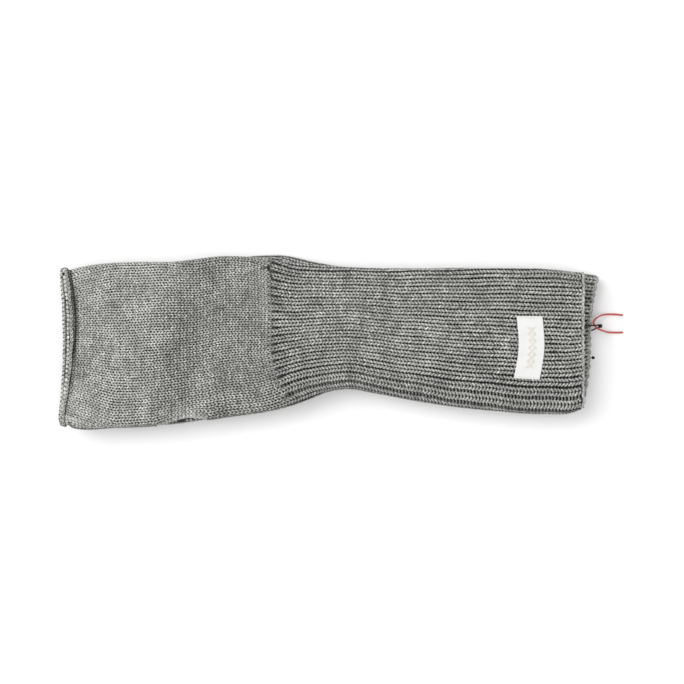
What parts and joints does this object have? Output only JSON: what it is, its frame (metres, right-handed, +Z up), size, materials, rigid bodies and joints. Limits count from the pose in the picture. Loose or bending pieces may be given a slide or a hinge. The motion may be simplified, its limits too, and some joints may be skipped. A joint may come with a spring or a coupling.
{
  "type": "pair of long fingerless knitted gloves",
  "caption": "Pair of long fingerless knitted gloves, plain-knit hands with a rolled finger edge and ribbed forearms, laid flat one on the other, with a sewn label, a safety pin and a tag cord.",
  "frame": {"origin": "centre of the pair's outline, on the table that it lies on", "axes": "+X along the gloves from the finger end to the cuff, +Y across the hand towards the edge that is at the top in the picture, +Z up from the table"},
  "size_m": [0.397, 0.1216, 0.0283],
  "materials": {
    "plain_knit": "heather grey wool, plain knit",
    "rib_knit": "heather grey wool, one-by-one rib",
    "edge_knit": "heather grey wool, knitted edge",
    "seam_yarn": "heather grey wool, linked seam",
    "label_satin": "woven satin label, off-white",
    "label_thread": "sewing thread, off-white",
    "pin_black": "black lacquered steel wire",
    "knot_thread": "black thread",
    "tag_cord": "coral red waxed cord"
  },
  "bodies": {
    "lower_glove": {"lower_hand_top": "plain_knit", "lower_forearm_top": "rib_knit", "lower_cuff_edge_top": "edge_knit", "lower_rolled_edge_top": "edge_knit", "lower_hand_underside": "plain_knit", "lower_forearm_underside": "rib_knit", "lower_cuff_edge_underside": "edge_knit", "lower_rolled_edge_underside": "edge_knit", "lower_side_seam_finger": "seam_yarn", "lower_side_seam_forearm": "seam_yarn", "safety_pin": "pin_black", "safety_pin_clasp": "pin_black", "thread_knot": "knot_thread"},
    "upper_glove": {"upper_hand_top": "plain_knit", "upper_forearm_top": "rib_knit", "upper_cuff_edge_top": "edge_knit", "upper_rolled_edge_top": "edge_knit", "upper_hand_underside": "plain_knit", "upper_forearm_underside": "rib_knit", "upper_cuff_edge_underside": "edge_knit", "upper_rolled_edge_underside": "edge_knit", "upper_side_seam_finger": "seam_yarn", "upper_side_seam_forearm": "seam_yarn", "label": "label_satin", "label_stitches_far": "label_thread", "label_stitches_near": "label_thread"},
    "tag_cord_body": {"tag_cord": "tag_cord"}
  },
  "joints": [
    {"name": "upper_glove_lift", "type": "slide", "parent": "lower_glove", "child": "upper_glove", "axis": [0, 0, 1], "range_m": [0, 0.12]},
    {"name": "tag_cord_swing", "type": "hinge", "parent": "lower_glove", "child": "tag_cord_body", "pos_m": [0.1855, 0.0112, 0.0098], "axis": [0, 0, 1], "range_deg": [-20, 8]}
  ]
}
